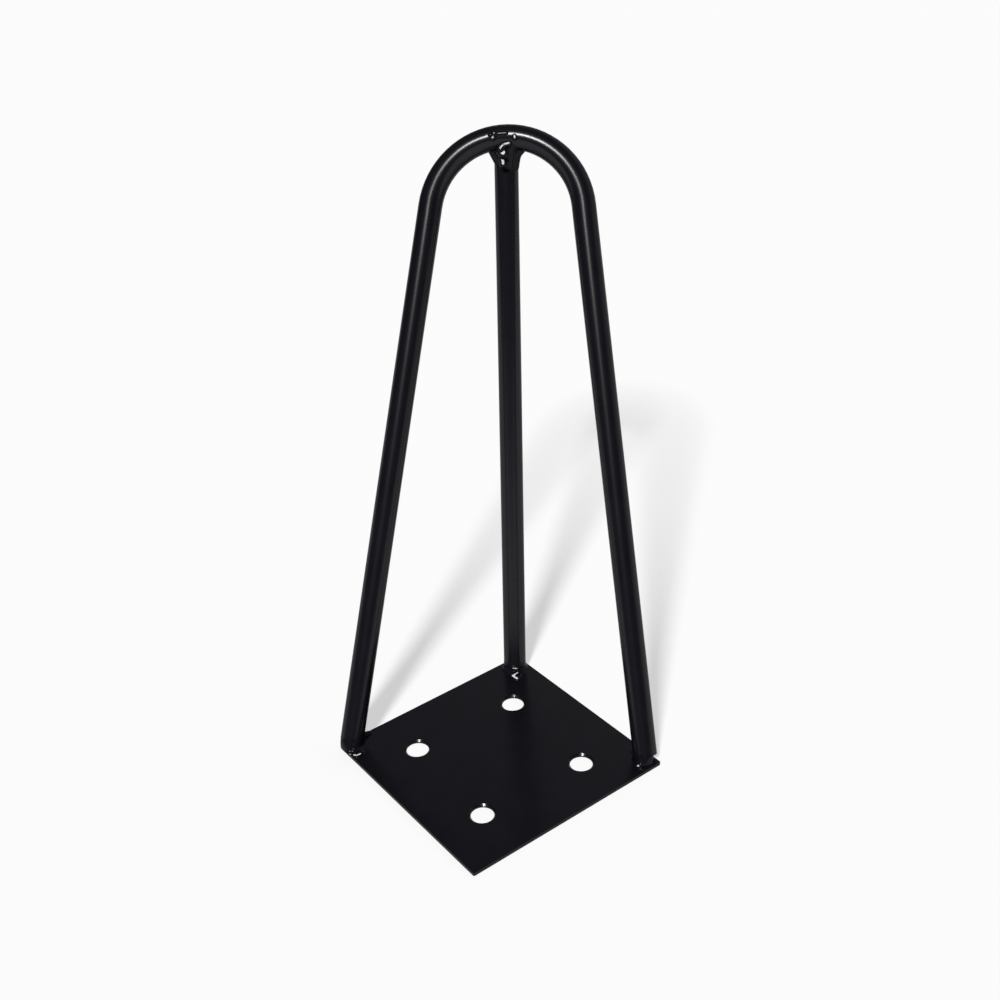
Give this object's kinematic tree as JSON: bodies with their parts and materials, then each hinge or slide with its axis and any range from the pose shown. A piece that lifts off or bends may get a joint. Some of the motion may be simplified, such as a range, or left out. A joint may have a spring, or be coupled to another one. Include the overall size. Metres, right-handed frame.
{
  "type": "hairpin table leg",
  "caption": "Short welded hairpin furniture leg: a bent round rod and a straight rod lean out over one corner of a square screw-on plate, all painted black.",
  "frame": {"origin": "centre of the plate's mounting face", "axes": "+Z out of the plate towards the bend, X along the line of the bent rod's feet, +Y towards the straight rod's corner, the way the leg leans"},
  "size_m": [0.1408, 0.1983, 0.244],
  "materials": {
    "black_paint": "gloss"
  },
  "bodies": {
    "root": {"mounting_plate": "black_paint", "hairpin_rod": "black_paint", "straight_rod": "black_paint", "weld_left_foot": "black_paint", "weld_right_foot": "black_paint", "weld_back_foot": "black_paint", "weld_apex": "black_paint"}
  },
  "joints": []
}
